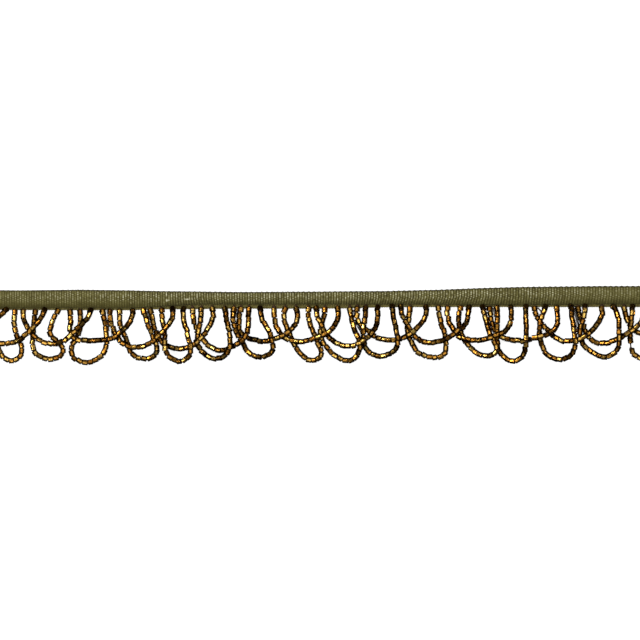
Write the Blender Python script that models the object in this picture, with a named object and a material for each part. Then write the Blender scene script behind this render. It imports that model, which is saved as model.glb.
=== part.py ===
# Beaded fringe trim, a cut length lying on its back.
# A ribbed ribbon heading runs along X. Under its lip lies a narrow thread header,
# and from that header hang loops of strung bugle beads, long ones over wide ones,
# each lying over its neighbour where they cross. The loops point to -Y.
# The origin is on the flat back of the heading, and the floor is z = 0.

import math
from collections import namedtuple

import bmesh
import bpy
import numpy
from mathutils import Vector

MM = 0.001

# Driving dimensions, in millimetres.
LENGTH = 304.8
RIB_PITCH_LEFT = 1.08
RIB_PITCH_RIGHT = 1.23
RIBS = 264
RIB_HEIGHT = 0.14
SCALLOP_LEFT = 0.03
SCALLOP_RIGHT = 0.12
BACK_COLUMNS = 48

HEADER_HEIGHT = 0.9
HEADER_HIDDEN = 2.2
HEADER_COLUMNS = 76

STRAND = 2.1
STRAND_GAP = 0.3
STATION_SPACING = 1.62
SAMPLE_SPACING = 0.4
CLIMB = 0.4
ROOT_GAP = 0.35
ROOT_LIFT = 0.15
ROOT_MARGIN = 0.3

# Where the heading's edges run: the top selvedge, the lip, the lower edge of the
# thread header, and how far the ribs lean at the lip.
Edge = namedtuple("Edge", "x top lip header lean")
EDGES = (
    Edge(-152.4, 2.3, -5.9, -6.6, 0.0),
    Edge(-132.0, 2.1, -5.9, -6.6, 0.0),
    Edge(-105.6, 2.4, -5.9, -6.7, 0.0),
    Edge(-83.6, 2.1, -5.9, -6.7, 0.0),
    Edge(-70.4, 1.8, -5.2, -6.3, 0.0),
    Edge(-52.8, 1.6, -4.2, -6.2, 0.7),
    Edge(-35.2, 1.4, -4.2, -6.0, 0.1),
    Edge(0.0, 1.6, -4.2, -6.0, 0.0),
    Edge(10.6, 1.7, -4.2, -5.9, -0.2),
    Edge(28.2, 1.8, -4.2, -5.4, -0.8),
    Edge(52.8, 2.4, -4.2, -5.3, -1.2),
    Edge(70.4, 3.1, -4.5, -5.3, -1.2),
    Edge(88.0, 3.6, -4.5, -5.3, -0.5),
    Edge(105.6, 3.8, -4.4, -5.3, -0.8),
    Edge(123.2, 4.0, -4.1, -5.3, -0.8),
    Edge(152.4, 4.0, -4.1, -5.3, 0.0),
)

# The heading's section from the top selvedge (share 0) to the lip (share 1): rounded in
# front, its back flat on the floor at the top and raised over the thread header below.
# Ribs is the share of the rib height that shows there.
Face = namedtuple("Face", "share z ribs")
FRONT = (
    Face(0.00, 1.00, 0.0),
    Face(0.10, 1.40, 1.0),
    Face(0.24, 2.00, 1.0),
    Face(0.42, 2.36, 1.0),
    Face(0.75, 2.38, 1.0),
    Face(1.00, 2.10, 0.4),
)
BACK = (
    Face(0.00, 0.00, 0.0),
    Face(0.40, 0.00, 0.0),
    Face(0.58, 1.25, 0.0),
    Face(1.00, 1.25, 0.0),
)

# Each loop hangs from the header on two roots. x and depth place its lowest point,
# and the other columns say how far it reaches to the left and right of that point,
# at the root and at four levels down. The rows run from the bottom of the pile up.
Loop = namedtuple("Loop", "x depth left_root left_high left_mid left_low left_foot"
                          " right_foot right_low right_mid right_high right_root")
LEVELS = (0.25, 0.50, 0.72, 0.90)
LOOPS = (
    Loop(142.6, 17.3, 8.8, 8.7, 7.5, 5.9, 4.2, 3.9, 5.9, 7.2, 7.9, 7.9),
    Loop(142.7, 28.0, 5.2, 5.6, 6.3, 6.1, 5.2, 3.9, 4.8, 4.6, 4.5, 4.5),
    Loop(123.8, 21.5, 10.6, 9.6, 7.8, 6.9, 4.5, 6.0, 11.7, 16.6, 18.7, 19.2),
    Loop(125.1, 27.4, 8.3, 9.2, 10.8, 9.7, 5.4, 4.9, 6.5, 6.3, 6.2, 3.7),
    Loop(108.5, 20.4, 14.1, 13.7, 10.9, 7.8, 5.1, 6.9, 11.1, 13.7, 15.8, 15.5),
    Loop(105.6, 28.5, 6.4, 8.4, 9.2, 8.1, 5.8, 5.0, 6.7, 6.2, 5.4, 4.7),
    Loop(88.0, 20.2, 13.4, 13.1, 12.4, 10.7, 7.4, 7.6, 14.3, 16.5, 16.5, 16.0),
    Loop(85.2, 29.3, 7.5, 7.1, 7.4, 7.2, 4.9, 4.2, 5.3, 5.4, 5.4, 5.2),
    Loop(73.3, 27.0, 11.5, 12.3, 11.5, 9.1, 5.4, 4.6, 3.5, 1.1, -0.5, -1.8),
    Loop(67.4, 20.0, 11.3, 11.4, 10.5, 8.5, 5.9, 8.2, 14.3, 16.2, 16.8, 16.6),
    Loop(50.8, 27.6, 11.1, 11.7, 12.4, 10.4, 7.8, 4.7, 4.5, 3.9, 1.9, 1.2),
    Loop(48.8, 21.0, 13.4, 12.7, 10.6, 8.4, 5.9, 6.5, 10.9, 15.2, 16.3, 16.6),
    Loop(30.7, 19.9, 14.2, 14.5, 13.8, 9.8, 6.6, 7.1, 10.9, 14.0, 16.1, 15.6),
    Loop(26.8, 26.9, 6.6, 7.2, 7.8, 7.3, 5.9, 5.9, 7.4, 6.8, 5.6, 4.8),
    Loop(11.9, 29.0, 9.5, 10.5, 11.8, 9.8, 5.4, 4.6, 5.8, 3.9, 1.9, 1.1),
    Loop(12.2, 22.7, 13.7, 13.5, 11.4, 9.1, 5.6, 5.6, 10.0, 12.5, 13.2, 13.1),
    Loop(-3.6, 29.0, 11.6, 12.3, 9.8, 7.4, 4.4, 4.4, 3.2, 0.9, -1.3, -1.5),
    Loop(-8.4, 20.6, 11.8, 11.8, 11.2, 9.7, 7.0, 5.8, 12.3, 15.4, 16.4, 15.9),
    Loop(-24.9, 20.3, 9.8, 10.4, 10.8, 10.5, 7.1, 6.5, 11.3, 14.5, 14.8, 14.3),
    Loop(-26.4, 27.3, 11.2, 12.0, 10.5, 7.7, 5.2, 5.3, 5.4, 4.1, 0.7, -0.1),
    Loop(-44.0, 24.4, 12.2, 11.7, 10.6, 8.0, 5.1, 6.3, 10.9, 12.3, 12.5, 12.8),
    Loop(-45.8, 28.2, 6.3, 6.5, 7.8, 8.3, 4.9, 5.0, 6.3, 6.0, 4.6, 3.8),
    Loop(-61.7, 23.7, 13.1, 12.2, 11.0, 9.2, 6.4, 6.2, 9.9, 12.8, 14.7, 14.1),
    Loop(-62.2, 29.1, 7.8, 7.0, 6.0, 6.1, 4.5, 5.0, 5.1, 4.0, 2.3, 2.1),
    Loop(-77.3, 28.2, 10.7, 10.8, 9.0, 7.1, 5.5, 5.2, 5.3, 3.3, 1.0, -0.4),
    Loop(-81.3, 23.1, 11.0, 10.9, 9.9, 8.0, 5.4, 6.6, 9.9, 13.7, 16.5, 16.4),
    Loop(-103.0, 29.8, 2.6, 2.3, 3.7, 6.5, 5.5, 6.2, 8.9, 8.9, 8.5, 7.0),
    Loop(-103.7, 20.1, 6.1, 6.1, 6.1, 6.0, 5.1, 13.1, 16.0, 19.2, 21.1, 21.2),
    Loop(-119.0, 28.2, 6.3, 6.8, 7.2, 7.4, 6.0, 5.8, 5.3, 0.1, 1.2, 3.9),
    Loop(-117.7, 21.7, 12.8, 12.8, 11.2, 8.8, 5.5, 5.0, 8.3, 12.0, 15.6, 16.9),
    Loop(-136.0, 29.1, 7.7, 7.4, 6.9, 5.9, 3.9, 4.5, 4.8, 2.5, 1.5, 1.9),
    Loop(-138.9, 21.5, 9.5, 9.3, 8.6, 7.2, 4.9, 6.6, 9.8, 13.2, 16.2, 17.9),
    Loop(-145.6, 12.4, 5.7, 5.6, 5.1, 4.2, 2.6, 1.7, 3.1, 4.4, 6.0, 7.9),
)


def clear_scene():
    for obj in list(bpy.data.objects):
        bpy.data.objects.remove(obj, do_unlink=True)


def material(name, colour, roughness, metallic):
    made = bpy.data.materials.new(name)
    made.use_nodes = True
    shader = made.node_tree.nodes["Principled BSDF"]
    shader.inputs["Base Color"].default_value = (*colour, 1.0)
    shader.inputs["Roughness"].default_value = roughness
    shader.inputs["Metallic"].default_value = metallic
    return made


def edge_at(x, column):
    """The value of one column of the edge table at x."""
    xs = [row.x for row in EDGES]
    values = [getattr(row, column) for row in EDGES]
    return float(numpy.interp(x, xs, values))


def mesh_object(name, build, *materials):
    """An object whose mesh the function build fills, in millimetres."""
    mesh = bpy.data.meshes.new(name)
    bm = bmesh.new()
    build(bm)
    bmesh.ops.scale(bm, vec=(MM, MM, MM), verts=bm.verts)
    bmesh.ops.recalc_face_normals(bm, faces=bm.faces)
    bm.to_mesh(mesh)
    bm.free()
    for item in materials:
        mesh.materials.append(item)
    obj = bpy.data.objects.new(name, mesh)
    bpy.context.scene.collection.objects.link(obj)
    return obj


# Heading

def rib_x(number):
    """X of a rib's crest, or of a valley halfway between; the ribs widen to the right."""
    growth = RIB_PITCH_RIGHT / RIB_PITCH_LEFT
    share = (growth ** (number / RIBS) - 1.0) / (growth - 1.0)
    return LENGTH * (share - 0.5)


def scallop_height(x):
    """How far every other rib stands out at the top selvedge; it grows to the right."""
    return SCALLOP_LEFT + (SCALLOP_RIGHT - SCALLOP_LEFT) * (x / LENGTH + 0.5)


def heading_point(x, face, ribs, number):
    """A point of the heading's front or back, in the row of its section called face."""
    top = edge_at(x, "top")
    lip = edge_at(x, "lip")
    lower_half = max(0.0, 2.0 * face.share - 1.0)
    lean = edge_at(x, "lean") * lower_half
    scallop = scallop_height(x) * math.cos(math.pi * number) * (1.0 - face.share) if ribs else 0.0
    relief = RIB_HEIGHT * face.ribs * (0.5 if number == int(number) else -0.5) if ribs else 0.0
    y = top + (lip - top) * face.share + scallop
    return Vector((x + lean, y, face.z + relief))


def along(vert):
    return vert.co.x


def down(vert):
    return -vert.co.y


def bridge_rows(bm, first, second, key):
    """Triangles between two chains of vertices that may differ in number."""
    a = 0
    b = 0
    while a < len(first) - 1 or b < len(second) - 1:
        next_a = key(first[a + 1]) if a < len(first) - 1 else math.inf
        next_b = key(second[b + 1]) if b < len(second) - 1 else math.inf
        if next_a <= next_b:
            bm.faces.new((first[a], first[a + 1], second[b]))
            a += 1
        else:
            bm.faces.new((first[a], second[b + 1], second[b]))
            b += 1


def grid_rows(bm, rows):
    for upper, lower in zip(rows, rows[1:]):
        for a, b, c, d in zip(upper, upper[1:], lower[1:], lower):
            bm.faces.new((a, b, c, d))


def build_heading(bm):
    numbers = [step / 2.0 for step in range(2 * RIBS + 1)]
    front = []
    for face in FRONT:
        row = [bm.verts.new(heading_point(rib_x(n), face, True, n)) for n in numbers]
        front.append(row)
    columns = [LENGTH * (c / BACK_COLUMNS - 0.5) for c in range(BACK_COLUMNS + 1)]
    back = []
    for face in BACK:
        row = [bm.verts.new(heading_point(x, face, False, 0.0)) for x in columns]
        back.append(row)
    grid_rows(bm, front)
    grid_rows(bm, back)
    for edge in (0, -1):
        bridge_rows(bm, front[edge], back[edge], along)
    for end in (0, -1):
        bridge_rows(bm, [row[end] for row in front], [row[end] for row in back], down)


# Thread header, the strip that the loops grow from

def build_header(bm):
    sections = []
    for column in range(HEADER_COLUMNS + 1):
        x = LENGTH * (column / HEADER_COLUMNS - 0.5)
        upper = edge_at(x, "lip") + HEADER_HIDDEN
        lower = edge_at(x, "header")
        corners = ((upper, 0.0), (lower, 0.0), (lower, HEADER_HEIGHT), (upper, HEADER_HEIGHT))
        sections.append([bm.verts.new((x, y, z)) for y, z in corners])
    close_sections(bm, sections)


def close_sections(bm, sections):
    """Skin a row of four-cornered sections and cap both ends."""
    for here, beyond in zip(sections, sections[1:]):
        for side in range(4):
            turn = (side + 1) % 4
            bm.faces.new((here[side], beyond[side], beyond[turn], here[turn]))
    bm.faces.new(sections[0])
    bm.faces.new(list(reversed(sections[-1])))


# Loops

def root_point(x):
    return Vector((x, edge_at(x, "lip") - ROOT_GAP))


def loop_guide(loop):
    """The points that a loop's course runs through in plan, from left root to right root."""
    left_root = root_point(loop.x - loop.left_root)
    right_root = root_point(loop.x + loop.right_root)
    left = (loop.left_high, loop.left_mid, loop.left_low, loop.left_foot)
    right = (loop.right_high, loop.right_mid, loop.right_low, loop.right_foot)
    guide = [left_root]
    for level, reach in zip(LEVELS, left):
        guide.append(Vector((loop.x - reach, left_root.y + (-loop.depth - left_root.y) * level)))
    guide.append(Vector((loop.x, -loop.depth)))
    for level, reach in reversed(list(zip(LEVELS, right))):
        guide.append(Vector((loop.x + reach, right_root.y + (-loop.depth - right_root.y) * level)))
    guide.append(right_root)
    return guide


def smooth_course(guide):
    """A centripetal Catmull-Rom curve through the guide points, finely sampled."""
    points = [2.0 * guide[0] - guide[1]] + guide + [2.0 * guide[-1] - guide[-2]]
    course = []
    for p0, p1, p2, p3 in zip(points, points[1:], points[2:], points[3:]):
        t1 = (p1 - p0).length ** 0.5
        t2 = t1 + (p2 - p1).length ** 0.5
        t3 = t2 + (p3 - p2).length ** 0.5
        steps = max(2, round((p2 - p1).length / SAMPLE_SPACING))
        for step in range(steps):
            t = t1 + (t2 - t1) * step / steps
            a1 = p0.lerp(p1, t / t1)
            a2 = p1.lerp(p2, (t - t1) / (t2 - t1))
            a3 = p2.lerp(p3, (t - t2) / (t3 - t2))
            b1 = a1.lerp(a2, t / t2)
            b2 = a2.lerp(a3, (t - t1) / (t3 - t1))
            course.append(b1.lerp(b2, (t - t1) / (t2 - t1)))
    course.append(guide[-1])
    return numpy.array([(p.x, p.y) for p in course])


def lengths_along(points):
    steps = numpy.hypot(*numpy.diff(points, axis=0).T)
    return numpy.concatenate(([0.0], numpy.cumsum(steps)))


def resample(points, spacing):
    """Points at an even spacing along a line, both ends kept."""
    along = lengths_along(points)
    count = max(2, round(along[-1] / spacing))
    wanted = numpy.linspace(0.0, along[-1], count + 1)
    return numpy.column_stack([numpy.interp(wanted, along, column) for column in points.T])


def height_needed(samples, laid):
    """How high each sample has to lie to clear the strands that are there already."""
    if not laid:
        return numpy.zeros(len(samples))
    below = numpy.concatenate(laid)
    reach = STRAND + STRAND_GAP
    offsets = samples[:, None, :] - below[None, :, :2]
    near = numpy.hypot(offsets[..., 0], offsets[..., 1]) < reach
    return numpy.max(numpy.where(near, below[None, :, 2] + reach, 0.0), axis=1)


def inside_header(x, y):
    return y > edge_at(x, "header") - ROOT_MARGIN


def settle(stations, laid):
    """The underside heights of a strand's stations, draped over the strands below it."""
    along = lengths_along(stations)
    fine = numpy.linspace(0.0, along[-1], round(along[-1] / SAMPLE_SPACING) + 1)
    samples = numpy.column_stack([numpy.interp(fine, along, column) for column in stations.T])
    need = height_needed(samples, laid)
    ramps = need[None, :] - CLIMB * numpy.abs(fine[:, None] - fine[None, :])
    draped = numpy.maximum(need, numpy.max(ramps, axis=1))
    spacing = along[1]
    heights = [float(draped[numpy.abs(fine - at) <= spacing].max()) for at in along]
    heights[0] = 0.0
    heights[-1] = 0.0
    laid.append(numpy.column_stack([samples, numpy.interp(fine, along, heights)]))
    for index, (x, y) in enumerate(stations):
        if inside_header(x, y):
            heights[index] = max(heights[index], ROOT_LIFT)
    return heights


def across_at(stations, index):
    """The sideways vector of a station, mitred so the strand keeps its width."""
    if index in (0, len(stations) - 1):
        return Vector((1.0, 0.0)) if index == 0 else Vector((-1.0, 0.0))
    before = Vector(stations[index] - stations[index - 1]).normalized()
    after = Vector(stations[index + 1] - stations[index]).normalized()
    left_before = Vector((-before.y, before.x))
    left_after = Vector((-after.y, after.x))
    return (left_before + left_after) / (1.0 + left_before.dot(left_after))


def add_strand(bm, stations, heights):
    sections = []
    for index, ((x, y), z) in enumerate(zip(stations, heights)):
        side = across_at(stations, index) * (STRAND / 2.0)
        corners = ((1.0, 0.0), (-1.0, 0.0), (-1.0, STRAND), (1.0, STRAND))
        section = [bm.verts.new((x + sign * side.x, y + sign * side.y, z + up)) for sign, up in corners]
        sections.append(section)
    close_sections(bm, sections)


def build_strands(bm):
    laid = []
    for loop in LOOPS:
        stations = resample(smooth_course(loop_guide(loop)), STATION_SPACING)
        heights = settle(stations, laid)
        add_strand(bm, stations, heights)


def main():
    clear_scene()
    ribbon = material("ribbon", (0.14, 0.12, 0.05), 0.85, 0.0)
    beads = material("beads", (0.30, 0.17, 0.045), 0.3, 0.9)
    mesh_object("heading_tape", build_heading, ribbon)
    fringe = mesh_object("bead_fringe", build_header, beads)
    strands = mesh_object("strands_to_join", build_strands, beads)
    strands.hide_render = True
    strands.display_type = "WIRE"
    join = fringe.modifiers.new("join the loops to the header", "BOOLEAN")
    join.operation = "UNION"
    join.solver = "EXACT"
    join.object = strands


main()
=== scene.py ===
# Looks of the beaded fringe: bronze bugle beads strung in overlapping loops, a thread
# header that they hang from, and a ribbed olive ribbon over it. Shapes are worked out
# in millimetres and scaled to metres when a mesh is made.

import math
import random
from collections import namedtuple

import bpy
import numpy
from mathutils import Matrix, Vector


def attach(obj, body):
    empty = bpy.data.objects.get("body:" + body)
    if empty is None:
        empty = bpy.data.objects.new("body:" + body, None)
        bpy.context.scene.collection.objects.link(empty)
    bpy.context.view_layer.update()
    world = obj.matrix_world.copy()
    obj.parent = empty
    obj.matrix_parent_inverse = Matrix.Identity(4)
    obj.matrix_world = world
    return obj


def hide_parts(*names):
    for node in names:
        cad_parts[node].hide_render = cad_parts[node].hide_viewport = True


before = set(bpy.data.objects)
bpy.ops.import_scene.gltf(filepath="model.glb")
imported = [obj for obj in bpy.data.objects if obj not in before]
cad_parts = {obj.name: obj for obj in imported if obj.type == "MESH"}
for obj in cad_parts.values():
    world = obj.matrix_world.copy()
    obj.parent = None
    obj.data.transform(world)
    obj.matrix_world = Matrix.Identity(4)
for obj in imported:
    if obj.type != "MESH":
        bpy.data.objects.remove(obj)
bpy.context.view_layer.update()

MM = 0.001
BODY = "root"

# The photograph's frame.
PHOTO_PX = 640
MM_PER_PX = 0.44
PHOTO_CENTRE_Y = -11.0

# Trim, in millimetres.
LENGTH = 304.8
RIB_PITCH_LEFT = 1.08
RIB_PITCH_RIGHT = 1.23
RIBS = 264
SCALLOP_LEFT = 0.03
SCALLOP_RIGHT = 0.12

# A strand's thickness and the gap that it keeps over a strand it crosses, the spacings
# of the points along it, how steeply it climbs, and how far its root lies below the lip.
STRAND = 2.1
STRAND_GAP = 0.3
STATION_SPACING = 1.62
SAMPLE_SPACING = 0.4
COURSE_SPACING = 0.1
CLIMB = 0.4
ROOT_GAP = 0.35

# Loops deeper than LONG_LOOP are the long ones. BEAD_FLOOR is the least height of a
# bead's underside. SWELL is how round a bead's faces are: 0 is flat, 1 a round tube.
LONG_LOOP = 24.5
BEAD_RADIUS = 1.26
BEAD_PITCH = 2.52
BEAD_FLOOR = 0.02
SWELL = 0.7
THREAD_RADIUS = 0.72

# Where the heading's edges run: the top selvedge, the lip, the lower edge of the
# thread header, and how far the ribs lean at the lip.
Edge = namedtuple("Edge", "x top lip header lean")
EDGES = (
    Edge(-152.4, 2.3, -5.9, -6.6, 0.0),
    Edge(-132.0, 2.1, -5.9, -6.6, 0.0),
    Edge(-105.6, 2.4, -5.9, -6.7, 0.0),
    Edge(-83.6, 2.1, -5.9, -6.7, 0.0),
    Edge(-70.4, 1.8, -5.2, -6.3, 0.0),
    Edge(-52.8, 1.6, -4.2, -6.2, 0.7),
    Edge(-35.2, 1.4, -4.2, -6.0, 0.1),
    Edge(0.0, 1.6, -4.2, -6.0, 0.0),
    Edge(10.6, 1.7, -4.2, -5.9, -0.2),
    Edge(28.2, 1.8, -4.2, -5.4, -0.8),
    Edge(52.8, 2.4, -4.2, -5.3, -1.2),
    Edge(70.4, 3.1, -4.5, -5.3, -1.2),
    Edge(88.0, 3.6, -4.5, -5.3, -0.5),
    Edge(105.6, 3.8, -4.4, -5.3, -0.8),
    Edge(123.2, 4.0, -4.1, -5.3, -0.8),
    Edge(152.4, 4.0, -4.1, -5.3, 0.0),
)

# Each loop hangs from the header on two roots. x and depth place its lowest point,
# and the other columns say how far it reaches to the left and right of that point,
# at the root and at four levels down. The rows run from the bottom of the pile up.
Loop = namedtuple("Loop", "x depth left_root left_high left_mid left_low left_foot"
                          " right_foot right_low right_mid right_high right_root")
LEVELS = (0.25, 0.50, 0.72, 0.90)
LOOPS = (
    Loop(142.6, 17.3, 8.8, 8.7, 7.5, 5.9, 4.2, 3.9, 5.9, 7.2, 7.9, 7.9),
    Loop(142.7, 28.0, 5.2, 5.6, 6.3, 6.1, 5.2, 3.9, 4.8, 4.6, 4.5, 4.5),
    Loop(123.8, 21.5, 10.6, 9.6, 7.8, 6.9, 4.5, 6.0, 11.7, 16.6, 18.7, 19.2),
    Loop(125.1, 27.4, 8.3, 9.2, 10.8, 9.7, 5.4, 4.9, 6.5, 6.3, 6.2, 3.7),
    Loop(108.5, 20.4, 14.1, 13.7, 10.9, 7.8, 5.1, 6.9, 11.1, 13.7, 15.8, 15.5),
    Loop(105.6, 28.5, 6.4, 8.4, 9.2, 8.1, 5.8, 5.0, 6.7, 6.2, 5.4, 4.7),
    Loop(88.0, 20.2, 13.4, 13.1, 12.4, 10.7, 7.4, 7.6, 14.3, 16.5, 16.5, 16.0),
    Loop(85.2, 29.3, 7.5, 7.1, 7.4, 7.2, 4.9, 4.2, 5.3, 5.4, 5.4, 5.2),
    Loop(73.3, 27.0, 11.5, 12.3, 11.5, 9.1, 5.4, 4.6, 3.5, 1.1, -0.5, -1.8),
    Loop(67.4, 20.0, 11.3, 11.4, 10.5, 8.5, 5.9, 8.2, 14.3, 16.2, 16.8, 16.6),
    Loop(50.8, 27.6, 11.1, 11.7, 12.4, 10.4, 7.8, 4.7, 4.5, 3.9, 1.9, 1.2),
    Loop(48.8, 21.0, 13.4, 12.7, 10.6, 8.4, 5.9, 6.5, 10.9, 15.2, 16.3, 16.6),
    Loop(30.7, 19.9, 14.2, 14.5, 13.8, 9.8, 6.6, 7.1, 10.9, 14.0, 16.1, 15.6),
    Loop(26.8, 26.9, 6.6, 7.2, 7.8, 7.3, 5.9, 5.9, 7.4, 6.8, 5.6, 4.8),
    Loop(11.9, 29.0, 9.5, 10.5, 11.8, 9.8, 5.4, 4.6, 5.8, 3.9, 1.9, 1.1),
    Loop(12.2, 22.7, 13.7, 13.5, 11.4, 9.1, 5.6, 5.6, 10.0, 12.5, 13.2, 13.1),
    Loop(-3.6, 29.0, 11.6, 12.3, 9.8, 7.4, 4.4, 4.4, 3.2, 0.9, -1.3, -1.5),
    Loop(-8.4, 20.6, 11.8, 11.8, 11.2, 9.7, 7.0, 5.8, 12.3, 15.4, 16.4, 15.9),
    Loop(-24.9, 20.3, 9.8, 10.4, 10.8, 10.5, 7.1, 6.5, 11.3, 14.5, 14.8, 14.3),
    Loop(-26.4, 27.3, 11.2, 12.0, 10.5, 7.7, 5.2, 5.3, 5.4, 4.1, 0.7, -0.1),
    Loop(-44.0, 24.4, 12.2, 11.7, 10.6, 8.0, 5.1, 6.3, 10.9, 12.3, 12.5, 12.8),
    Loop(-45.8, 28.2, 6.3, 6.5, 7.8, 8.3, 4.9, 5.0, 6.3, 6.0, 4.6, 3.8),
    Loop(-61.7, 23.7, 13.1, 12.2, 11.0, 9.2, 6.4, 6.2, 9.9, 12.8, 14.7, 14.1),
    Loop(-62.2, 29.1, 7.8, 7.0, 6.0, 6.1, 4.5, 5.0, 5.1, 4.0, 2.3, 2.1),
    Loop(-77.3, 28.2, 10.7, 10.8, 9.0, 7.1, 5.5, 5.2, 5.3, 3.3, 1.0, -0.4),
    Loop(-81.3, 23.1, 11.0, 10.9, 9.9, 8.0, 5.4, 6.6, 9.9, 13.7, 16.5, 16.4),
    Loop(-103.0, 29.8, 2.6, 2.3, 3.7, 6.5, 5.5, 6.2, 8.9, 8.9, 8.5, 7.0),
    Loop(-103.7, 20.1, 6.1, 6.1, 6.1, 6.0, 5.1, 13.1, 16.0, 19.2, 21.1, 21.2),
    Loop(-119.0, 28.2, 6.3, 6.8, 7.2, 7.4, 6.0, 5.8, 5.3, 0.1, 1.2, 3.9),
    Loop(-117.7, 21.7, 12.8, 12.8, 11.2, 8.8, 5.5, 5.0, 8.3, 12.0, 15.6, 16.9),
    Loop(-136.0, 29.1, 7.7, 7.4, 6.9, 5.9, 3.9, 4.5, 4.8, 2.5, 1.5, 1.9),
    Loop(-138.9, 21.5, 9.5, 9.3, 8.6, 7.2, 4.9, 6.6, 9.8, 13.2, 16.2, 17.9),
    Loop(-145.6, 12.4, 5.7, 5.6, 5.1, 4.2, 2.6, 1.7, 3.1, 4.4, 6.0, 7.9),
)


# Camera, floor and light

# Distances in metres, the floor's colour and how strongly it gives its own light.
CAMERA_DISTANCE = 8.0
FLOOR_HALF = 4.0
FLOOR_DROP = 0.0001
FLOOR_GREY = (0.25, 0.25, 0.25, 1.0)
FLOOR_GLOW = 0.86

# The lamps: the direction that each shines from, its size in metres, its power in watts.
Lamp = namedtuple("Lamp", "name towards size power")
LAMPS = (
    Lamp("key", (-0.40, 0.90, 1.1), 1.2, 5.0),
    Lamp("left", (-0.95, 0.10, 1.1), 0.24, 7.8),
    Lamp("corner", (-0.70, 0.70, 1.1), 0.24, 7.8),
    Lamp("back", (-0.10, 0.95, 1.1), 0.24, 6.2),
    Lamp("side", (0.70, 0.35, 1.1), 0.3, 1.2),
    Lamp("low", (-0.35, -0.75, 1.2), 0.35, 2.3),
)
LAMP_DISTANCE = 1.6

# How bright the surroundings are at each height, from straight below to straight above.
Sky = namedtuple("Sky", "height grey")
SKY = (
    Sky(0.0, 0.0),
    Sky(0.05, 0.0),
    Sky(0.20, 0.10),
    Sky(0.40, 0.14),
    Sky(0.48, 0.12),
    Sky(0.64, 0.34),
    Sky(0.84, 0.66),
    Sky(0.95, 1.60),
    Sky(1.0, 3.3),
)


def make_camera():
    """Straight above, far away and narrow, so that it frames what the photograph does."""
    half_width = PHOTO_PX * MM_PER_PX * MM / 2.0
    data = bpy.data.cameras.new("camera")
    data.type = "PERSP"
    data.sensor_width = 36.0
    data.sensor_fit = "HORIZONTAL"
    data.lens = data.sensor_width / 2.0 * CAMERA_DISTANCE / half_width
    data.clip_end = 50.0
    camera = bpy.data.objects.new("camera", data)
    bpy.context.scene.collection.objects.link(camera)
    camera.location = (0.0, PHOTO_CENTRE_Y * MM, CAMERA_DISTANCE)
    bpy.context.scene.camera = camera


def make_floor():
    """White paper that gives its own light and doesn't show in the beads."""
    mesh = bpy.data.meshes.new("floor")
    corners = [(x * FLOOR_HALF, y * FLOOR_HALF, 0.0) for x, y in ((-1, -1), (1, -1), (1, 1), (-1, 1))]
    mesh.from_pydata(corners, [], [(0, 1, 2, 3)])
    floor = bpy.data.objects.new("floor", mesh)
    bpy.context.scene.collection.objects.link(floor)
    floor.location.z = -FLOOR_DROP
    paper, shader = plain_material("white_floor")
    shader.inputs["Base Color"].default_value = FLOOR_GREY
    shader.inputs["Roughness"].default_value = 0.9
    shader.inputs["Specular IOR Level"].default_value = 0.0
    shader.inputs["Emission Color"].default_value = (1.0, 1.0, 1.0, 1.0)
    shader.inputs["Emission Strength"].default_value = FLOOR_GLOW
    mesh.materials.append(paper)
    floor.visible_glossy = False


def make_lamp(lamp):
    data = bpy.data.lights.new(lamp.name, "AREA")
    data.shape = "DISK"
    data.size = lamp.size
    data.energy = lamp.power
    light = bpy.data.objects.new(lamp.name, data)
    bpy.context.scene.collection.objects.link(light)
    towards = Vector(lamp.towards).normalized()
    light.location = towards * LAMP_DISTANCE
    light.rotation_euler = towards.to_track_quat("Z", "Y").to_euler()
    light.visible_camera = False


def make_light():
    for lamp in LAMPS:
        make_lamp(lamp)
    world = bpy.data.worlds.new("studio")
    bpy.context.scene.world = world
    world.use_nodes = True
    tree = world.node_tree
    background = tree.nodes["Background"]
    place = tree.nodes.new("ShaderNodeTexCoord")
    split = tree.nodes.new("ShaderNodeSeparateXYZ")
    tree.links.new(place.outputs["Generated"], split.inputs["Vector"])
    greys = ramp(tree, split.outputs["Z"], *((stop.height, (stop.grey,) * 3) for stop in SKY))
    tree.links.new(greys, background.inputs["Color"])
    background.inputs["Strength"].default_value = 1.0
    bpy.context.scene.view_settings.view_transform = "Standard"


# Materials

def plain_material(name):
    """A material and its shader, to be filled in by the caller."""
    made = bpy.data.materials.new(name)
    made.use_nodes = True
    return made, made.node_tree.nodes["Principled BSDF"]


def node(tree, kind, **sockets):
    made = tree.nodes.new(kind)
    for name, value in sockets.items():
        made.inputs[name.replace("_", " ")].default_value = value
    return made


def attribute(tree, name):
    made = tree.nodes.new("ShaderNodeAttribute")
    made.attribute_name = name
    return made.outputs["Fac"]


def noise(tree, scale, detail=2.0, stretch=(1.0, 1.0, 1.0)):
    """Noise in the object's own metres; scale is the number of features in a metre."""
    place = tree.nodes.new("ShaderNodeTexCoord")
    mapping = tree.nodes.new("ShaderNodeMapping")
    mapping.inputs["Scale"].default_value = stretch
    made = node(tree, "ShaderNodeTexNoise", Scale=scale, Detail=detail)
    tree.links.new(place.outputs["Object"], mapping.inputs["Vector"])
    tree.links.new(mapping.outputs["Vector"], made.inputs["Vector"])
    return made.outputs["Fac"]


def ramp(tree, value, *stops):
    """Colours along a value; each stop is a position and a colour."""
    made = tree.nodes.new("ShaderNodeValToRGB")
    first, last = made.color_ramp.elements
    first.position, first.color = stops[0][0], (*stops[0][1], 1.0)
    last.position, last.color = stops[-1][0], (*stops[-1][1], 1.0)
    for position, colour in stops[1:-1]:
        stop = made.color_ramp.elements.new(position)
        stop.color = (*colour, 1.0)
    tree.links.new(value, made.inputs["Fac"])
    return made.outputs["Color"]


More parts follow.
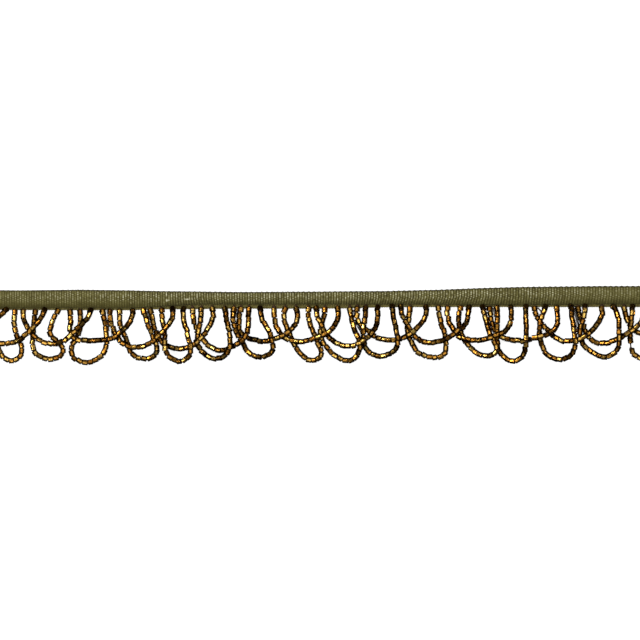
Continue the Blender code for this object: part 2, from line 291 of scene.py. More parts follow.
def mix(tree, blend, factor, a, b):
    made = tree.nodes.new("ShaderNodeMix")
    made.data_type = "RGBA"
    made.blend_type = blend
    for socket, value in (("Factor", factor), ("A", a), ("B", b)):
        target = next(s for s in made.inputs if s.name == socket and s.enabled)
        if isinstance(value, bpy.types.NodeSocket):
            tree.links.new(value, target)
        else:
            target.default_value = value
    return next(s for s in made.outputs if s.enabled)


def bump(tree, height, distance, strength=1.0):
    made = node(tree, "ShaderNodeBump", Strength=strength, Distance=distance)
    tree.links.new(height, made.inputs["Height"])
    return made.outputs["Normal"]


def bead_material():
    """A thin bronze coat on cut glass: its tone changes from bead to bead and in patches, and painted
    shade darkens its ends, its corners and the beads at the roots.
    """
    made, shader = plain_material("bronze_beads")
    tree = made.node_tree
    tone = ramp(tree, attribute(tree, "tone"),
                (0.0, (0.30, 0.116, 0.016)),
                (0.45, (0.52, 0.252, 0.036)),
                (1.0, (0.88, 0.63, 0.165)))
    patches = ramp(tree, noise(tree, 1700.0, 3.0),
                   (0.38, (0.44, 0.33, 0.23)),
                   (0.56, (1.0, 1.0, 1.0)))
    # Painted shade at the bead ends, along the corners and at the roots, with random wear on the
    # faces, darkens the colour.
    shade_and_wear = ramp(tree, attribute(tree, "shade_and_wear"),
                (0.0, (1.0, 1.0, 1.0)),
                (1.0, (0.012, 0.004, 0.002)))
    colour = mix(tree, "MULTIPLY", 1.0, mix(tree, "MULTIPLY", 1.0, tone, patches), shade_and_wear)
    tree.links.new(colour, shader.inputs["Base Color"])
    shader.inputs["Metallic"].default_value = 1.0
    rough = ramp(tree, noise(tree, 1500.0), (0.3, (0.10, 0.10, 0.10)), (0.7, (0.24, 0.24, 0.24)))
    tree.links.new(rough, shader.inputs["Roughness"])
    tree.links.new(bump(tree, noise(tree, 1900.0, 2.0), 0.00006), shader.inputs["Normal"])
    return made


def thread_material(name, dark, light, shine):
    made, shader = plain_material(name)
    tree = made.node_tree
    colour = ramp(tree, noise(tree, 2200.0, 3.0), (0.3, dark), (0.7, light))
    tree.links.new(colour, shader.inputs["Base Color"])
    shader.inputs["Roughness"].default_value = 0.8
    shader.inputs["Specular IOR Level"].default_value = shine
    tree.links.new(bump(tree, noise(tree, 5000.0, 2.0), 0.00005), shader.inputs["Normal"])
    return made


def ribbon_material():
    """Olive ribbed cloth, with painted highlight on the crests of the ribs and the weft's dots, and
    painted shade between the ribs and towards the lip.
    """
    made, shader = plain_material("olive_ribbon")
    tree = made.node_tree
    # The colour follows the relief: painted shade in the grooves and towards the lip, darker at the
    # selvedge, painted highlight on the crests and the weft's dots, and pale slubs.
    cloth_and_shade = ramp(tree, attribute(tree, "relief_and_shade"),
                 (0.0, (0.014, 0.012, 0.002)),
                 (0.25, (0.053, 0.046, 0.009)),
                 (0.55, (0.131, 0.120, 0.045)),
                 (1.0, (0.43, 0.42, 0.31)))
    patches = ramp(tree, noise(tree, 260.0, 3.0),
                   (0.3, (0.82, 0.80, 0.74)),
                   (0.7, (1.08, 1.08, 1.06)))
    colour = mix(tree, "MULTIPLY", 1.0, cloth_and_shade, patches)
    tree.links.new(colour, shader.inputs["Base Color"])
    shader.inputs["Roughness"].default_value = 0.75
    shader.inputs["Sheen Weight"].default_value = 0.05
    shader.inputs["Specular IOR Level"].default_value = 0.12
    fibres = noise(tree, 2600.0, 2.0, (3.0, 0.6, 1.0))
    tree.links.new(bump(tree, fibres, 0.00008), shader.inputs["Normal"])
    return made


# Meshes

def edge_at(x, column):
    """The value of one column of the edge table at x."""
    xs = [row.x for row in EDGES]
    values = [getattr(row, column) for row in EDGES]
    return numpy.interp(x, xs, values)


def piece(name, points, faces, material, smooth, values=None):
    """A mesh object from points in millimetres; values holds a number for each point."""
    mesh = bpy.data.meshes.new(name)
    mesh.from_pydata([tuple(p) for p in numpy.asarray(points) * MM], [], faces)
    for label, numbers in (values or {}).items():
        layer = mesh.attributes.new(label, "FLOAT", "POINT")
        layer.data.foreach_set("value", numpy.asarray(numbers, dtype=numpy.float32))
    mesh.polygons.foreach_set("use_smooth", [smooth] * len(mesh.polygons))
    mesh.materials.append(material)
    mesh.validate()
    obj = bpy.data.objects.new(name, mesh)
    bpy.context.scene.collection.objects.link(obj)
    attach(obj, BODY)
    return obj


class Builder:
    """Points, faces and values of many small shapes that end up in one mesh."""

    def __init__(self):
        self.points = []
        self.faces = []
        self.tones = []
        # Painted shade and random wear for each point of the beads.
        self.shade_and_wear = []

    def add_rings(self, rings, tone=0.0, shade_and_wear=0.0, closed=False):
        """Skin a row of rings of points. Closed joins the last ring to the first one."""
        start = len(self.points)
        size = len(rings[0])
        for ring in rings:
            self.points.extend(ring)
        self.tones.extend([tone] * (size * len(rings)))
        self.shade_and_wear.extend(numpy.broadcast_to(shade_and_wear, (len(rings), size)).ravel())
        pairs = list(zip(range(len(rings)), range(1, len(rings))))
        if closed:
            pairs.append((len(rings) - 1, 0))
        else:
            self.faces.append(tuple(start + i for i in reversed(range(size))))
            last = start + size * (len(rings) - 1)
            self.faces.append(tuple(last + i for i in range(size)))
        for one, other in pairs:
            a = start + one * size
            b = start + other * size
            for i in range(size):
                j = (i + 1) % size
                self.faces.append((a + i, a + j, b + j, b + i))


def tube_rings(path, radius, sides):
    """Rings around a path of points; radius is one number or one for each point."""
    path = numpy.asarray(path, dtype=float)
    ahead = numpy.gradient(path, axis=0)
    ahead /= numpy.linalg.norm(ahead, axis=1)[:, None]
    radii = numpy.broadcast_to(radius, len(path))
    angles = numpy.arange(sides) * 2.0 * math.pi / sides
    rings = []
    side = numpy.cross(ahead[0], (0.0, 0.0, 1.0))
    if numpy.linalg.norm(side) < 0.1:
        side = numpy.array((1.0, 0.0, 0.0))
    for centre, direction, r in zip(path, ahead, radii):
        side = side - direction * side.dot(direction)
        side /= numpy.linalg.norm(side)
        up = numpy.cross(side, direction)
        rings.append([centre + r * (math.cos(a) * side + math.sin(a) * up) for a in angles])
    return rings


# Courses of the loops

def root_point(x):
    return Vector((x, edge_at(x, "lip") - ROOT_GAP))


def loop_guide(loop):
    """The points that a loop's course runs through in plan, from left root to right root."""
    left_root = root_point(loop.x - loop.left_root)
    right_root = root_point(loop.x + loop.right_root)
    left = (loop.left_high, loop.left_mid, loop.left_low, loop.left_foot)
    right = (loop.right_high, loop.right_mid, loop.right_low, loop.right_foot)
    guide = [left_root]
    for level, reach in zip(LEVELS, left):
        guide.append(Vector((loop.x - reach, left_root.y + (-loop.depth - left_root.y) * level)))
    guide.append(Vector((loop.x, -loop.depth)))
    for level, reach in reversed(list(zip(LEVELS, right))):
        guide.append(Vector((loop.x + reach, right_root.y + (-loop.depth - right_root.y) * level)))
    guide.append(right_root)
    return guide


def smooth_course(guide, spacing=SAMPLE_SPACING):
    """A centripetal Catmull-Rom curve through the guide points, finely sampled."""
    points = [2.0 * guide[0] - guide[1]] + guide + [2.0 * guide[-1] - guide[-2]]
    course = []
    for p0, p1, p2, p3 in zip(points, points[1:], points[2:], points[3:]):
        t1 = (p1 - p0).length ** 0.5
        t2 = t1 + (p2 - p1).length ** 0.5
        t3 = t2 + (p3 - p2).length ** 0.5
        steps = max(2, round((p2 - p1).length / spacing))
        for step in range(steps):
            t = t1 + (t2 - t1) * step / steps
            a1 = p0.lerp(p1, t / t1)
            a2 = p1.lerp(p2, (t - t1) / (t2 - t1))
            a3 = p2.lerp(p3, (t - t2) / (t3 - t2))
            b1 = a1.lerp(a2, t / t2)
            b2 = a2.lerp(a3, (t - t1) / (t3 - t1))
            course.append(b1.lerp(b2, (t - t1) / (t2 - t1)))
    course.append(guide[-1])
    return numpy.array([tuple(p) for p in course])


def lengths_along(points):
    steps = numpy.linalg.norm(numpy.diff(points, axis=0), axis=1)
    return numpy.concatenate(([0.0], numpy.cumsum(steps)))


def resample(points, spacing):
    """Points at an even spacing along a line, both ends kept."""
    along = lengths_along(points)
    count = max(2, round(along[-1] / spacing))
    wanted = numpy.linspace(0.0, along[-1], count + 1)
    return numpy.column_stack([numpy.interp(wanted, along, column) for column in points.T])


def height_needed(samples, laid):
    """How high each sample has to lie to clear the strands that are there already."""
    if not laid:
        return numpy.zeros(len(samples))
    below = numpy.concatenate(laid)
    reach = STRAND + STRAND_GAP
    offsets = samples[:, None, :] - below[None, :, :2]
    near = numpy.hypot(offsets[..., 0], offsets[..., 1]) < reach
    return numpy.max(numpy.where(near, below[None, :, 2] + reach, 0.0), axis=1)


def settle(stations, laid):
    """The underside heights of a strand's stations, draped over the strands below it."""
    along = lengths_along(stations)
    fine = numpy.linspace(0.0, along[-1], round(along[-1] / SAMPLE_SPACING) + 1)
    samples = numpy.column_stack([numpy.interp(fine, along, column) for column in stations.T])
    need = height_needed(samples, laid)
    ramps = need[None, :] - CLIMB * numpy.abs(fine[:, None] - fine[None, :])
    draped = numpy.maximum(need, numpy.max(ramps, axis=1))
    spacing = along[1]
    heights = [float(draped[numpy.abs(fine - at) <= spacing].max()) for at in along]
    heights[0] = 0.0
    heights[-1] = 0.0
    laid.append(numpy.column_stack([samples, numpy.interp(fine, along, heights)]))
    return heights


def strand_course(loop, laid):
    """The middle line of a strand of beads in space, finely sampled."""
    stations = resample(smooth_course(loop_guide(loop)), STATION_SPACING)
    heights = settle(stations, laid)
    lift = BEAD_RADIUS + BEAD_FLOOR
    guide = [Vector((x, y, z + lift)) for (x, y), z in zip(stations, heights)]
    return smooth_course(guide, COURSE_SPACING)


# Beads

# A bead's form in millimetres. CORNER is half the angle that a softened corner takes up,
# and CORNER_SPREAD how far a corner may turn. The middle ring differs in thickness by
# BELLY and shifts along the bead by up to BELLY_SHIFT of its length.
CORNER = math.radians(7.0)
CORNER_SPREAD = 0.05
BEVEL = 0.09
RIM_DROP = 0.02
HOLE_SLACK = 0.03
BELLY = (0.97, 1.01)
BELLY_SHIFT = 0.06

# Painted shade on a bead, from 0 to 1, held in one value with random wear: at least the end
# shade over a band at each end, which then fades out, the corner shade along the corners,
# and at least the root shade all over a bead at a root, where it paints the ribbon's shadow.
# One of WORN_FACES on each face is wear that differs at random. The rows count the rings
# at an end and between them.
END_SHADE_BAND = 0.20
END_SHADE_FADE = 0.34
END_SHADE = 0.85
CORNER_SHADE = 0.80
ROOT_SHADE = 0.45
WORN_FACES = (0.0, 0.0, 0.2, 0.5)
END_ROWS = 4
MIDDLE_ROWS = 3

# How unevenly the beads are strung, in millimetres and radians.
PITCH_SPREAD = 0.14
GAP = 0.05
GAP_AT_BEND = 0.16
SHARPEST_BEND = 0.5
THICKNESS = (0.95, 1.01)
SWAY = 0.10
KINK = (0.10, 0.10, 0.06)
TWIST = 0.25
TWIST_SHARE = 0.75
ROOT_SWELL = 1.07

# Where the beads begin: this far up under the header's edge, and clear of the lip.
UNDER_HEADER = 0.7
UNDER_LIP = 0.15

# The middles of the short stretches of thread that have lost their beads.
BARE = ((136.6, -21.8),)
BARE_HALF = 1.2
BARE_RADIUS = 0.30

# The knot at each root, in millimetres: its form, its range of sizes, how far it lies
# below the header's edge and how it slants, and the share of knots that stand high.
# The knots are real, but made dark and large so that they also paint the shade at the roots.
KNOT_RADIUS = 0.74
KNOT_HALF = 1.15
KNOT_BLUNT = 1.04
KNOT_SIZES = (0.80, 1.15)
KNOT_DROP = (0.1, 0.5)
KNOT_SLANT = 0.45
KNOT_Z = 0.98
HIGH_KNOT_Z = 1.75
HIGH_KNOTS = 0.25

# How far the thread runs on past the beads into the header, how high it lies there,
# how far in among the beads it has risen to their height, and its points' spacing.
THREAD_END = 0.9
THREAD_END_Z = 0.5
THREAD_RISE = 0.3
THREAD_SPACING = 0.6


def point_on(course, along, s):
    return numpy.array([numpy.interp(s, along, column) for column in course.T])


def bead_spokes(twist, rng):
    """The angle and reach of the points around a six-sided bead, three for each side."""
    corners = [twist + k * math.pi / 3.0 + rng.uniform(-CORNER_SPREAD, CORNER_SPREAD)
               for k in range(6)]
    spokes = []
    for here, beyond in zip(corners, corners[1:] + [corners[0] + 2.0 * math.pi]):
        flat = (beyond - here) / 2.0
        swell = SWELL + (1.0 - SWELL) * math.cos(flat - CORNER)
        spokes += [(here - CORNER, 1.0), (here + CORNER, 1.0), (here + flat, swell)]
    return spokes


def bead_rings(middle, axis, length, radius, twist, rng):
    """A hexagonal cut tube: softened long edges, bevelled ends and a hole through it."""
    side = numpy.cross(axis, (0.0, 0.0, 1.0))
    side /= numpy.linalg.norm(side)
    up = numpy.cross(side, axis)
    spokes = bead_spokes(twist, rng)
    half = length / 2.0
    rim = half - BEVEL
    shift = rng.uniform(-BELLY_SHIFT, BELLY_SHIFT)
    belly = radius * rng.uniform(*BELLY)
    # The rings at the end's band and at its fade bound the painted shade at each end.
    end = [
        (half, THREAD_RADIUS + HOLE_SLACK),
        (half - RIM_DROP, radius - BEVEL),
        (rim, radius),
        (rim - END_SHADE_BAND, radius),
        (rim - END_SHADE_FADE, radius),
    ]
    rows = [(-offset, r) for offset, r in end] + [(shift * length, belly)] + end[::-1]
    rings = []
    for offset, r in rows:
        centre = middle + axis * offset
        outward = [reach * (math.cos(a) * side + math.sin(a) * up) for a, reach in spokes]
        rings.append([centre + r * point for point in outward])
    return rings


def bead_shade_and_wear(at_root, rng):
    """The painted shade and the random wear of each point of a bead's rings, ring by ring."""
    faces = [rng.choice(WORN_FACES) for _ in range(6)]
    around = [value for face in faces for value in (CORNER_SHADE, CORNER_SHADE, face)]
    near = [rng.uniform(END_SHADE, 1.0)] * END_ROWS
    far = [rng.uniform(END_SHADE, 1.0)] * END_ROWS
    shade_and_wear = numpy.maximum.outer(near + [0.0] * MIDDLE_ROWS + far, around)
    return numpy.maximum(shade_and_wear, ROOT_SHADE) if at_root else shade_and_wear


def clear_of_header(course, along):
    """How far along a strand its beads begin and end: where it leaves the thread header."""
    header = edge_at(course[:, 0], "header") + UNDER_HEADER
    lip = edge_at(course[:, 0], "lip") - UNDER_LIP
    outside = numpy.flatnonzero(course[:, 1] < numpy.minimum(header, lip))
    return along[outside[0]], along[outside[-1]]


def string_beads(course, builder, rng):
    """Beads laid end to end along a strand, turned at random, with a little slack."""
    along = lengths_along(course)
    first, last = clear_of_header(course, along)
    count = round((last - first) / BEAD_PITCH)
    shares = numpy.array([rng.uniform(1.0 - PITCH_SPREAD, 1.0 + PITCH_SPREAD) for _ in range(count)])
    bounds = first + (last - first) * numpy.concatenate(([0.0], numpy.cumsum(shares))) / shares.sum()
    for start, end in zip(bounds, bounds[1:]):
        a = point_on(course, along, start)
        b = point_on(course, along, end)
        axis = b - a
        pitch = numpy.linalg.norm(axis)
        axis /= pitch
        before = point_on(course, along, max(0.0, start - pitch / 2.0))
        after = point_on(course, along, min(along[-1], end + pitch / 2.0))
        bend = numpy.linalg.norm((after - b) / pitch * 2.0 - (a - before) / pitch * 2.0)
        gap = GAP + GAP_AT_BEND * min(bend, SHARPEST_BEND)
        sway = numpy.array([rng.gauss(0.0, SWAY), rng.gauss(0.0, SWAY), 0.0])
        tilted = axis + numpy.array([rng.gauss(0.0, spread) for spread in KINK])
        tilted /= numpy.linalg.norm(tilted)
        if rng.random() < TWIST_SHARE:
            twist = rng.gauss(0.0, TWIST)
        else:
            twist = rng.uniform(0.0, math.pi / 3.0)
        at_root = start == bounds[0] or end == bounds[-1]
        radius = BEAD_RADIUS * rng.uniform(*THICKNESS) * (ROOT_SWELL if at_root else 1.0)
        if min(math.dist((a + b)[:2] / 2.0, bare) for bare in BARE) < BARE_HALF:
            continue
        rings = bead_rings((a + b) / 2.0 + sway, tilted, pitch - gap, radius, twist, rng)
        lowest = min(point[2] for ring in rings for point in ring)
        if lowest < BEAD_FLOOR:
            rings = [[point + (0.0, 0.0, BEAD_FLOOR - lowest) for point in ring] for ring in rings]
        # Painted shade at the ends, the corners and a root bead, with random wear on the faces.
        shade_and_wear = bead_shade_and_wear(at_root, rng)
        tone = rng.triangular(0.0, 1.0, 0.5)
        builder.add_rings(rings, tone, shade_and_wear, closed=True)


def string_thread(course, builder, rng):
    """The thread inside a strand, with a knot where each of its ends enters the header."""
    along = lengths_along(course)
    first, last = clear_of_header(course, along)
    inside = (along > first - THREAD_END) & (along < last + THREAD_END)
    line = course[inside]
    into = numpy.minimum(along[inside] - first, last - along[inside])
    risen = numpy.interp(into, (-THREAD_END, THREAD_RISE), (0.0, 1.0))
    line[:, 2] = risen * (line[:, 2] - THREAD_END_Z) + THREAD_END_Z
    line = resample(line, THREAD_SPACING)
    bare = numpy.min([numpy.hypot(line[:, 0] - x, line[:, 1] - y) for x, y in BARE], axis=0)
    radii = numpy.where(bare < BARE_HALF, BARE_RADIUS, THREAD_RADIUS)
    radii = numpy.minimum(radii, line[:, 2] - BEAD_FLOOR)
    builder.add_rings(tube_rings(line, radii, sides=8))
    for x in (line[0, 0], line[-1, 0]):
        add_knot(x, builder, rng)


def add_knot(x, builder, rng):
    """A short fat tube across the root, tapered to both ends; its dark thread also paints the shade
    at the root.
    """
    turns = numpy.linspace(-1.0, 1.0, 7)
    size = rng.uniform(*KNOT_SIZES)
    radii = KNOT_RADIUS * size * numpy.sqrt(KNOT_BLUNT - turns ** 2)
    z = HIGH_KNOT_Z if rng.random() < HIGH_KNOTS else KNOT_Z
    place = numpy.array((x, edge_at(x, "header") - rng.uniform(*KNOT_DROP), z))
    lay = (KNOT_HALF * size, rng.uniform(-KNOT_SLANT, KNOT_SLANT), 0.0)
    builder.add_rings(tube_rings(place + numpy.outer(turns, lay), radii, sides=9))


def make_strands():
    """Every loop with its beads and its thread, from the bottom of the pile up."""
    rng = random.Random(11)
    laid = []
    long_beads = Builder()
    wide_beads = Builder()
    threads = Builder()
    for loop in LOOPS:
        course = strand_course(loop, laid)
        string_beads(course, long_beads if loop.depth > LONG_LOOP else wide_beads, rng)
        string_thread(course, threads, rng)
    bronze = bead_material()
    for name, builder in (("beads_long_loops", long_beads), ("beads_wide_loops", wide_beads)):
        # The bead tone, and the painted shade with random wear, go to the colour.
        values = {"tone": builder.tones, "shade_and_wear": builder.shade_and_wear}
        beads = piece(name, builder.points, builder.faces, bronze, False, values)
        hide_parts("bead_fringe")
    dark = thread_material("strand_thread", (0.014, 0.006, 0.002), (0.050, 0.024, 0.009), 0.2)
    piece("strand_threads", threads.points, threads.faces, dark, True)


# Painted shadow between close strands, made as bundles of grey thread: where a bundle begins and
# ends, how wide it spreads.
ShadeWisp = namedtuple("ShadeWisp", "top_x top foot_x foot spread")
SHADE_WISPS = (
    ShadeWisp(-93.2, -6.8, -92.4, -18.0, 0.9),
    ShadeWisp(-87.1, -16.4, -86.8, -18.6, 0.3),
    ShadeWisp(-76.2, -7.0, -73.9, -14.2, 0.4),
    ShadeWisp(-36.5, -6.2, -36.5, -10.1, 0.5),
    ShadeWisp(15.0, -6.6, 15.3, -10.1, 0.4),
    ShadeWisp(15.6, -11.0, 18.0, -18.5, 0.6),
    ShadeWisp(76.1, -5.6, 76.3, -10.5, 0.5),
    ShadeWisp(95.7, -5.6, 98.0, -8.4, 0.4),
    ShadeWisp(112.2, -5.6, 114.0, -19.0, 0.5),
)
WISP_THREADS = 8

# Each thread of a bundle, lengths in millimetres: it waves, bows to one side by up to
# WISP_BOW of the bundle's spread, rises in its middle by WISP_RISE, and reaches a share
# of the way to the bundle's end. WISP_TURN is how many radians of a wave it runs through.
WISP_RADIUS = 0.16
WISP_Z = 0.3
WISP_WAVE = 0.12
WISP_TURN = (6.0, 11.0)
WISP_BOW = 0.6
WISP_RISE = (0.2, 1.4)
WISP_REACH = (0.55, 1.0)


def make_gap_shade_threads():
    """Painted shadow: bundles of fine grey thread laid where shade falls between close strands."""
    builder = Builder()
    rng = random.Random(31)
    share = numpy.linspace(0.0, 1.0, 13)
    bow = numpy.sin(numpy.pi * share)
    for wisp in SHADE_WISPS:
        for _ in range(WISP_THREADS):
            top = wisp.top_x + rng.uniform(-wisp.spread, wisp.spread)
            foot = wisp.foot_x + rng.uniform(-wisp.spread, wisp.spread)
            phase = rng.uniform(0.0, 6.0)
            wave = WISP_WAVE * numpy.sin(phase + share * rng.uniform(*WISP_TURN))
            aside = rng.uniform(-WISP_BOW, WISP_BOW) * wisp.spread * bow
            x = top + (foot - top) * share + aside + wave
            y = wisp.top + (wisp.foot - wisp.top) * share * rng.uniform(*WISP_REACH)
            z = WISP_Z + rng.uniform(*WISP_RISE) * bow
            path = numpy.column_stack([x, y, z])
            builder.add_rings(tube_rings(path, WISP_RADIUS, sides=6))
    # Grey thread that paints the shadow in the gaps between strands.
    grey = thread_material("gap_shade_thread", (0.035, 0.031, 0.027), (0.17, 0.155, 0.14), 0.2)
    piece("gap_shade_threads", builder.points, builder.faces, grey, True)


# Ribbon

# Sizes in millimetres. The lip turns under in a small arc, and what is left of the width
# runs back below, rising a little.
RIBBON_WIDTH = 10.0
RIBBON_THICKNESS = 0.32
ROWS_ACROSS = 44
COLUMNS_PER_RIB = 4
LIP_TURN = 0.12
LIP_ANGLES = (0.6, 1.2, 1.8, 2.4, 3.0)
LEAST_HIDDEN = 0.4
HIDDEN_RISE = 0.05
SCALLOP_DEPTH = 1.2

# The relief of the cloth. Two cells of each rib share a row of the weft, and each cell
# has a height and a groove depth of its own. WEFT_DIP is how deep the weft's dots are,
# and the last two values are the inner face's share of the relief and of the shade.
RIB_HEIGHT = 0.20
RIB_HEIGHTS = (0.88, 1.08)
CELL_HEIGHTS = (0.55, 1.35)
GROOVE_DEPTHS = (0.2, 1.25)
WEFT_ROW = 0.95
WEFT_DIP = 0.45
CELL_ROWS = 24
INNER_RELIEF = 0.4
INNER_SHADE = 0.8

# What varies over the ribbon, each as places and the values there. Share is how far
# down a point lies, of the width seen from above. The weft's dots show most near the
# top, the selvedge is darker, painted shade darkens the lip, and the ribs stand out most
# at mid-length.
# Towards the lip they stand out less: that begins at a share of LIP_FROM and is
# complete at LIP_TO.
Curve = namedtuple("Curve", "places values")
DOTS_BY_SHARE = Curve((0.0, 0.10, 0.25, 0.55, 0.75, 1.0), (0.0, 0.5, 1.0, 0.8, 0.3, 0.1))
SELVEDGE_BY_DEPTH = Curve((0.0, 0.7, 1.3), (0.20, 0.38, 1.0))
SHADE_BY_SHARE = Curve((0.0, 0.7, 1.0), (1.0, 1.0, 0.65))
WEAVE_BY_X = Curve((-152.0, -75.0, 0.0, 95.0, 122.0), (0.62, 0.95, 1.0, 0.90, 0.60))
LIP_WEAVE_BY_X = Curve((-90.0, -75.0), (0.45, 0.85))
LIP_FROM = 0.40
LIP_TO = 0.85

# The outer face of the ribbon's section: share of the width seen from above, height.
SECTION = (
    (0.00, 0.36), (0.04, 0.95), (0.12, 1.60), (0.24, 2.10), (0.38, 2.36), (0.52, 2.36),
    (0.66, 2.20), (0.80, 1.90), (0.91, 1.52), (0.97, 1.28), (1.00, 1.05),
)

# Pale slubs in the cloth: where each lies and how far it spreads.
Flaw = namedtuple("Flaw", "x y width height pale")
FLAWS = (
    Flaw(-58.5, -1.9, 1.2, 0.30, 0.9),
    Flaw(-67.1, -2.4, 0.7, 0.45, 0.6),
)


def rib_x(number):
    """X of a rib's crest; the ribs widen to the right."""
    growth = RIB_PITCH_RIGHT / RIB_PITCH_LEFT
    share = (growth ** (number / RIBS) - 1.0) / (growth - 1.0)
    return LENGTH * (share - 0.5)


def scallop_height(x):
    """How far every other rib stands out at the top selvedge; it grows to the right."""
    return SCALLOP_LEFT + (SCALLOP_RIGHT - SCALLOP_LEFT) * (x / LENGTH + 0.5)


def ribbon_section(width):
    """The section in (down, up) millimetres, its hidden part turned under the lip."""
    outline = [Vector((share * width, z)) for share, z in SECTION]
    course = smooth_course(outline, COURSE_SPACING)
    shown = lengths_along(course)[-1]
    hidden = max(LEAST_HIDDEN, RIBBON_WIDTH - shown)
    lip = course[-1]
    under = [(lip[0] - LIP_TURN * (1.0 - math.cos(a)), lip[1] - LIP_TURN * math.sin(a))
             for a in LIP_ANGLES]
    under.append((lip[0] - 2.0 * LIP_TURN - hidden, lip[1] + HIDDEN_RISE))
    return resample(numpy.vstack([course, under]), RIBBON_WIDTH / ROWS_ACROSS)


def recount(line, count):
    """The same line with a set number of points."""
    old = numpy.linspace(0, 1, len(line))
    new = numpy.linspace(0, 1, count)
    return numpy.column_stack([numpy.interp(new, old, column) for column in line.T])


def curve_at(curve, place):
    return numpy.interp(place, curve.places, curve.values)


def sheet_faces(rows, columns):
    """The faces of a closed sheet: an outer grid of points, an inner one, and the rims."""
    faces = []
    base = rows * columns
    for r in range(rows - 1):
        for c in range(columns - 1):
            a = r * columns + c
            b = a + 1
            d = a + columns
            e = d + 1
            faces.append((a, d, e, b))
            faces.append((base + a, base + b, base + e, base + d))
    for c in range(columns - 1):
        faces.append((c, c + 1, base + c + 1, base + c))
        last = (rows - 1) * columns + c
        faces.append((last, base + last, base + last + 1, last + 1))
    for r in range(rows - 1):
        a = r * columns
        faces.append((a, base + a, base + a + columns, a + columns))
        b = a + columns - 1
        faces.append((b, b + columns, base + b + columns, base + b))
    return faces


class Weave:
    """The uneven ribs and weft of the cloth, down each column of points."""

    def __init__(self, rng):
        ribs = range(RIBS + 2)
        self.heights = [rng.uniform(*RIB_HEIGHTS) for _ in ribs]
        self.cells = [[rng.uniform(*CELL_HEIGHTS) for _ in range(CELL_ROWS)] for _ in ribs]
        self.grooves = [[rng.uniform(*GROOVE_DEPTHS) for _ in range(CELL_ROWS)] for _ in ribs]
        self.cell_down = numpy.arange(CELL_ROWS) * WEFT_ROW / 2.0

    def height(self, number, x, down, share):
        """How far the points of a column stand out: about 0 in a groove, 1 on a crest."""
        rib = int(round(number))
        crest = 0.5 + 0.5 * math.cos(2.0 * math.pi * number)
        strength = self.heights[rib] * numpy.interp(down, self.cell_down, self.cells[rib])
        depth = numpy.interp(down, self.cell_down, self.grooves[int(number)])
        beat = 0.5 + 0.5 * numpy.cos(2.0 * math.pi * (down / WEFT_ROW + 0.5 * (rib % 2)))
        to_lip = numpy.interp(share, (LIP_FROM, LIP_TO), (1.0, curve_at(LIP_WEAVE_BY_X, x)))
        weave = curve_at(WEAVE_BY_X, x) * to_lip
        ribbed = 0.5 + (crest * strength - 0.5) * weave * (depth + (1.0 - depth) * crest)
        return ribbed * (1.0 - WEFT_DIP + WEFT_DIP * beat * curve_at(DOTS_BY_SHARE, share))


def make_ribbon():
    """A thin closed sheet: ribs and weft raised on it, with their relief and painted shade for the
    colour.
    """
    weave = Weave(random.Random(5))
    columns = COLUMNS_PER_RIB * RIBS + 1
    rows = ROWS_ACROSS + 1
    down = numpy.arange(rows) * RIBBON_WIDTH / ROWS_ACROSS
    outer = numpy.zeros((rows, columns, 3))
    inner = numpy.zeros((rows, columns, 3))
    relief_and_shade = numpy.zeros((rows, columns))
    for c in range(columns):
        number = c / COLUMNS_PER_RIB
        x = rib_x(number)
        top = edge_at(x, "top")
        lip = edge_at(x, "lip")
        section = recount(ribbon_section(top - lip), rows)
        tangent = numpy.gradient(section, axis=0)
        tangent /= numpy.linalg.norm(tangent, axis=1)[:, None]
        normal = numpy.column_stack([-tangent[:, 1], tangent[:, 0]])
        share = numpy.clip(section[:, 0] / (top - lip), 0.0, 1.0)
        height = weave.height(number, x, down, share)
        shade = curve_at(SELVEDGE_BY_DEPTH, down) * curve_at(SHADE_BY_SHARE, share)
        lean = edge_at(x, "lean") * numpy.clip(2.0 * share - 1.0, 0.0, 1.0)
        scallop = scallop_height(x) * math.cos(math.pi * number)
        scallop = scallop * numpy.clip(1.0 - down / SCALLOP_DEPTH, 0.0, 1.0)
        lift = RIB_HEIGHT * (height - 0.5)
        outer[:, c, 0] = x + lean
        outer[:, c, 1] = top - section[:, 0] - normal[:, 0] * lift + scallop
        outer[:, c, 2] = section[:, 1] + normal[:, 1] * lift
        sunk = RIBBON_THICKNESS - INNER_RELIEF * lift
        inner[:, c, 0] = x + lean
        inner[:, c, 1] = top - section[:, 0] + normal[:, 0] * sunk + scallop
        inner[:, c, 2] = section[:, 1] - normal[:, 1] * sunk
        # The colour's value: the relief, which paints shade in the grooves and highlight on the
        # crests, times the darker selvedge and the painted shade towards the lip.
        relief_and_shade[:, c] = height * shade
        for flaw in FLAWS:
            away = ((x - flaw.x) / flaw.width) ** 2 + ((outer[:, c, 1] - flaw.y) / flaw.height) ** 2
            relief_and_shade[:, c] += flaw.pale * numpy.exp(-away)
    points = numpy.vstack([outer.reshape(-1, 3), inner.reshape(-1, 3)])
    values = numpy.concatenate([relief_and_shade.ravel(), relief_and_shade.ravel() * INNER_SHADE])
    faces = sheet_faces(rows, columns)
    ribbon = piece("ribbon", points, faces, ribbon_material(), True, {"relief_and_shade": values})
    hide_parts("heading_tape")


# Thread header

# Sizes in millimetres. The threads run along the header; share is how far down each
# lies, from the lip to HEADER_INSET above the lower edge. Each wavers as it twists, to
# the sides by HEADER_SWAY and in height by HEADER_HEAVE. Threads further down lie lower.
Thread = namedtuple("Thread", "share radius phase")
HEADER_THREADS = (
    Thread(1.0, 0.24, 0.0),
    Thread(0.55, 0.26, 2.1),
    Thread(0.1, 0.28, 4.2),
)
HEADER_STEP = 0.35
HEADER_INSET = 0.22
HEADER_Z = 0.50
HEADER_FALL = 0.1
HEADER_TWIST = 1.15
HEADER_SWAY = 0.07
HEADER_HEAVE = 0.10

# The flat strip that the threads and stitches lie on: how far it runs up under the
# ribbon, how far it stops above the lower edge, and its two faces.
BAND_UNDER_LIP = 2.0
BAND_INSET = 0.06
BAND_Z = 0.08
BAND_TOP = 0.46

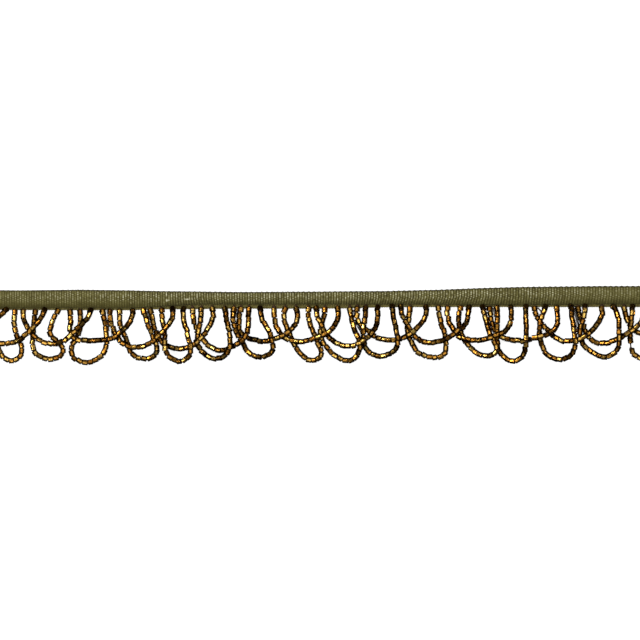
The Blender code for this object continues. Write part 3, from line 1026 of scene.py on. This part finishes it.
# The stitches start above the lip and end just below the header's edge. Each arches up
# and then dives at its end.
STITCH_START = 1.3
STITCH_END = 0.03
STITCH_RADIUS = 0.17
STITCH_Z = 0.62
STITCH_ARCH = 0.22
STITCH_DIVE = 0.42
STITCH_SLANT = (0.15, 0.4)
STITCH_SPACING = (0.85, 1.15)
END_MARGIN = 0.6


def make_header():
    """Twisted threads side by side along the header, crossed by small stitches."""
    builder = Builder()
    rng = random.Random(23)
    xs = numpy.arange(-LENGTH / 2.0, LENGTH / 2.0 + HEADER_STEP, HEADER_STEP)
    lip = edge_at(xs, "lip")
    low = edge_at(xs, "header")
    band = [[(x, upper, BAND_Z), (x, lower, BAND_Z), (x, lower, BAND_TOP), (x, upper, BAND_TOP)]
            for x, upper, lower in zip(xs, lip + BAND_UNDER_LIP, low + BAND_INSET)]
    builder.add_rings(band)
    for thread in HEADER_THREADS:
        turn = xs * 2.0 * math.pi / HEADER_TWIST + thread.phase
        y = lip + (low + HEADER_INSET - lip) * thread.share + HEADER_SWAY * numpy.sin(turn)
        z = HEADER_Z + HEADER_HEAVE * numpy.cos(turn) - HEADER_FALL * thread.share
        path = numpy.column_stack([xs, y, z])
        builder.add_rings(tube_rings(path, thread.radius, sides=7))
    x = -LENGTH / 2.0 + END_MARGIN
    while x < LENGTH / 2.0 - END_MARGIN:
        here = edge_at(x, "lip")
        there = edge_at(x, "header")
        slant = rng.uniform(*STITCH_SLANT)
        span = numpy.linspace(0.0, 1.0, 9)
        y = here + STITCH_START + (there - STITCH_END - here - STITCH_START) * span
        z = STITCH_Z + STITCH_ARCH * numpy.sin(numpy.pi * span) - STITCH_DIVE * span ** 4
        path = numpy.column_stack([x + slant * span, y, z])
        builder.add_rings(tube_rings(path, STITCH_RADIUS, sides=6))
        x += rng.uniform(*STITCH_SPACING)
    olive = thread_material("header_thread", (0.050, 0.040, 0.007), (0.160, 0.136, 0.042), 0.1)
    header = piece("thread_header", builder.points, builder.faces, olive, True)
    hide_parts("bead_fringe")


make_camera()
make_floor()
make_light()
make_strands()
make_gap_shade_threads()
make_ribbon()
make_header()
